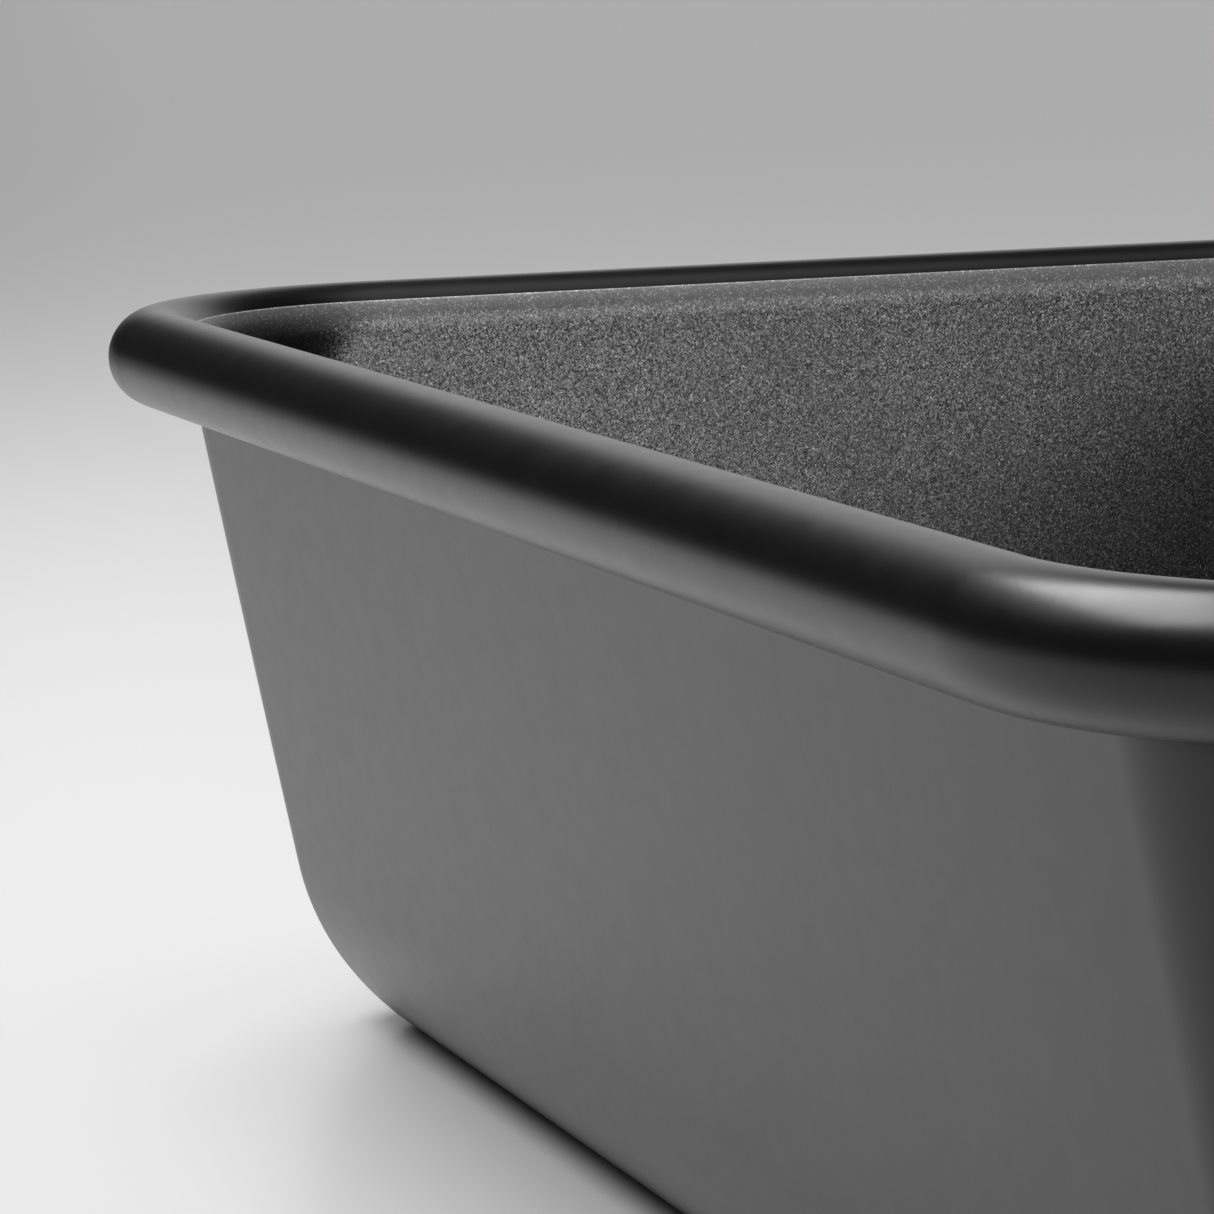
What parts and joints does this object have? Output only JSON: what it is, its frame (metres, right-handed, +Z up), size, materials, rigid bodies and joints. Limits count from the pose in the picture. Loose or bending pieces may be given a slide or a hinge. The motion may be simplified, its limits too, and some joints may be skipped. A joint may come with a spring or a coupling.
{
  "type": "loaf pan",
  "caption": "Deep rectangular loaf pan drawn from sheet steel, with flared walls, a rounded bottom edge, a thick wire-cored curled rim and a speckled non-stick lining.",
  "frame": {"origin": "on the surface the pan stands on, under the middle of the pan", "axes": "+X along the pan's length, +Y across its width, +Z up from the base to the open top"},
  "size_m": [0.245, 0.144, 0.065],
  "materials": {
    "satin_finish": "smooth, nearly black satin coating over the steel",
    "nonstick_lining": "dark grey semi-gloss non-stick coating with fine metallic flakes",
    "rim_wire": "plain drawn steel wire"
  },
  "bodies": {
    "root": {"pan_shell": "satin_finish", "nonstick_lining": "nonstick_lining", "rim_wire": "rim_wire"}
  },
  "joints": []
}
